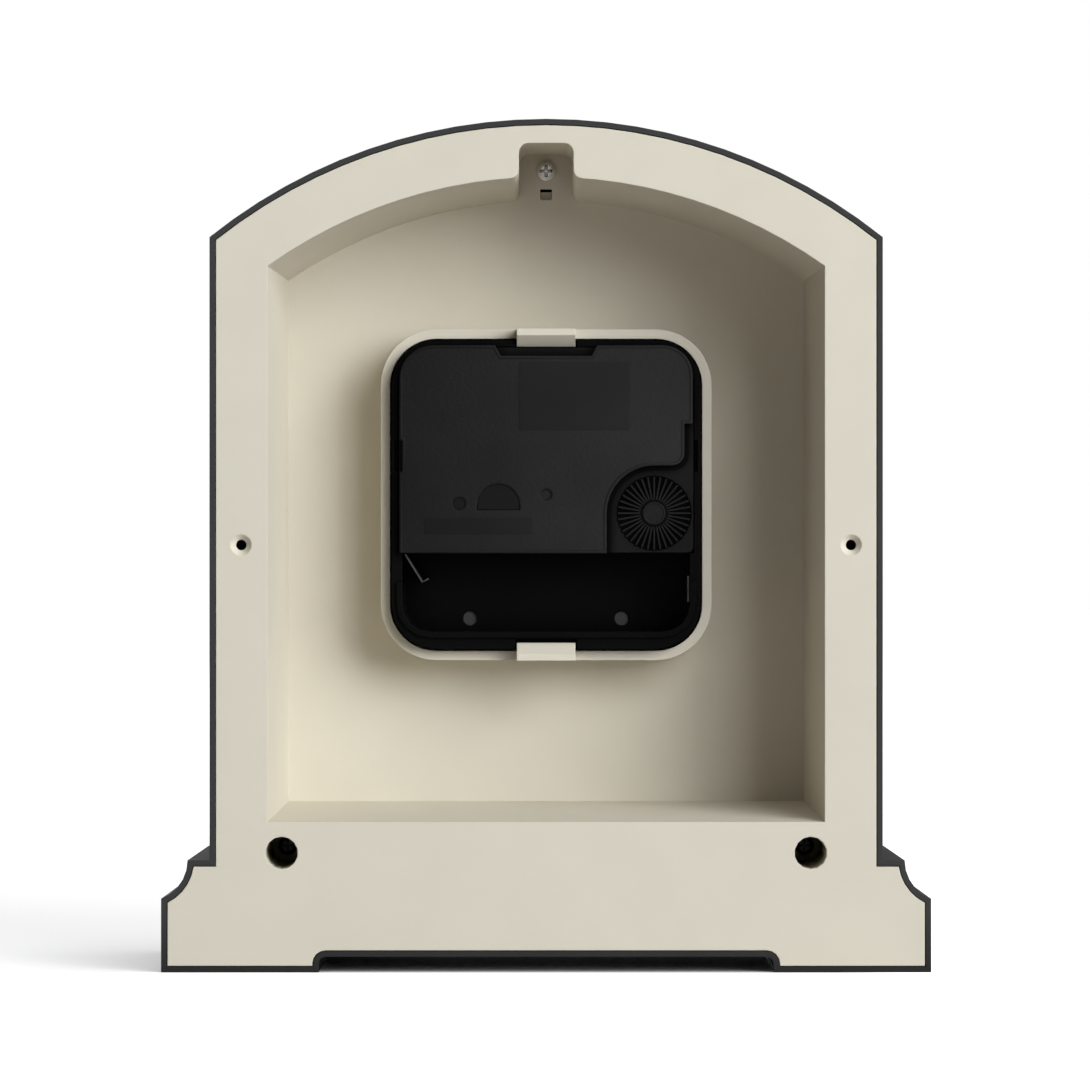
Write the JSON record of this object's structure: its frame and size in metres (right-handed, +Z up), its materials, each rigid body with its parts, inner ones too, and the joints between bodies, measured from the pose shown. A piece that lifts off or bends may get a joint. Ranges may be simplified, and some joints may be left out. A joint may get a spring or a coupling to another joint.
{
  "type": "mantel clock",
  "caption": "Arched table clock on a moulded plinth, its cream back recessed round a quartz movement with setting wheel, battery bay, gear train, dial and hands.",
  "frame": {"origin": "middle of the bounding box on the plane the feet stand on", "axes": "+Z up, the dial faces -Y, the open recessed back faces +Y, +X to the right as the dial is read"},
  "size_m": [0.1368, 0.0582, 0.1516],
  "materials": {
    "anthracite_plastic": "satin anthracite moulding",
    "cream_plastic": "satin cream moulding",
    "screw_steel": "plated steel",
    "clear_lens": "clear flat lens",
    "dial_card": "matt ivory card",
    "hand_metal": "black painted sheet",
    "black_plastic": "black moulding",
    "cover_plastic": "fine textured charcoal moulding",
    "gear_plastic": "natural white moulding",
    "magnet": "dark ferrite",
    "motor_steel": "bright steel",
    "winding": "copper wire",
    "board": "green board",
    "contact_metal": "plated spring steel"
  },
  "bodies": {
    "clock": {"front_case": "anthracite_plastic", "back_shell": "cream_plastic", "movement_surround": "cream_plastic", "top_screw": "screw_steel", "left_screw": "screw_steel", "right_screw": "screw_steel", "bezel_ring": "anthracite_plastic", "lens": "clear_lens", "spacer_ring": "anthracite_plastic", "dial": "dial_card", "movement_housing": "black_plastic", "movement_cover": "cover_plastic", "middle_plate": "black_plastic", "stator": "motor_steel", "coil_core": "motor_steel", "coil_bobbin": "gear_plastic", "coil_winding": "winding", "circuit_board": "board", "quartz_crystal": "motor_steel", "control_chip": "black_plastic", "positive_contact": "contact_metal", "negative_contact": "contact_metal"},
    "setting": {"setting_wheel": "black_plastic"},
    "motion": {"motion_wheel": "gear_plastic"},
    "minute": {"cannon_pinion": "gear_plastic", "minute_hand": "hand_metal"},
    "hour": {"hour_wheel": "gear_plastic", "hour_hand": "hand_metal"},
    "second": {"second_wheel": "gear_plastic", "second_hand": "hand_metal"},
    "third": {"third_wheel": "gear_plastic"},
    "centre": {"centre_wheel": "gear_plastic"},
    "intermediate": {"intermediate_wheel": "gear_plastic"},
    "rotor": {"rotor": "magnet"}
  },
  "joints": [
    {"name": "setting_turn", "type": "hinge", "parent": "clock", "child": "setting", "pos_m": [-0.01955, 0, 0.08165], "axis": [0, 1, 0], "continuous": true},
    {"name": "motion_turn", "type": "hinge", "parent": "clock", "child": "motion", "pos_m": [-0.00954, 0, 0.08337], "axis": [0, 1, 0], "continuous": true},
    {"name": "minute_turn", "type": "hinge", "parent": "clock", "child": "minute", "pos_m": [0, 0, 0.085], "axis": [0, 1, 0], "continuous": true},
    {"name": "hour_turn", "type": "hinge", "parent": "clock", "child": "hour", "pos_m": [0, 0, 0.085], "axis": [0, 1, 0], "continuous": true},
    {"name": "second_turn", "type": "hinge", "parent": "clock", "child": "second", "pos_m": [0, 0, 0.085], "axis": [0, 1, 0], "continuous": true},
    {"name": "third_turn", "type": "hinge", "parent": "clock", "child": "third", "pos_m": [0.00687, 0, 0.09187], "axis": [0, 1, 0], "continuous": true},
    {"name": "centre_turn", "type": "hinge", "parent": "clock", "child": "centre", "pos_m": [0, 0, 0.085], "axis": [0, 1, 0], "continuous": true},
    {"name": "intermediate_turn", "type": "hinge", "parent": "clock", "child": "intermediate", "pos_m": [-0.00483, 0, 0.09337], "axis": [0, 1, 0], "continuous": true},
    {"name": "rotor_turn", "type": "hinge", "parent": "clock", "child": "rotor", "pos_m": [-0.01044, 0, 0.09661], "axis": [0, 1, 0], "continuous": true}
  ],
  "couplings": [
    {"joint": "motion_turn", "follows": "setting_turn", "ratio": -0.4},
    {"joint": "minute_turn", "follows": "setting_turn", "ratio": 1.2},
    {"joint": "hour_turn", "follows": "setting_turn", "ratio": 0.1},
    {"joint": "intermediate_turn", "follows": "second_turn", "ratio": -6},
    {"joint": "rotor_turn", "follows": "second_turn", "ratio": 30},
    {"joint": "third_turn", "follows": "second_turn", "ratio": -0.13333},
    {"joint": "centre_turn", "follows": "second_turn", "ratio": 0.016667}
  ]
}
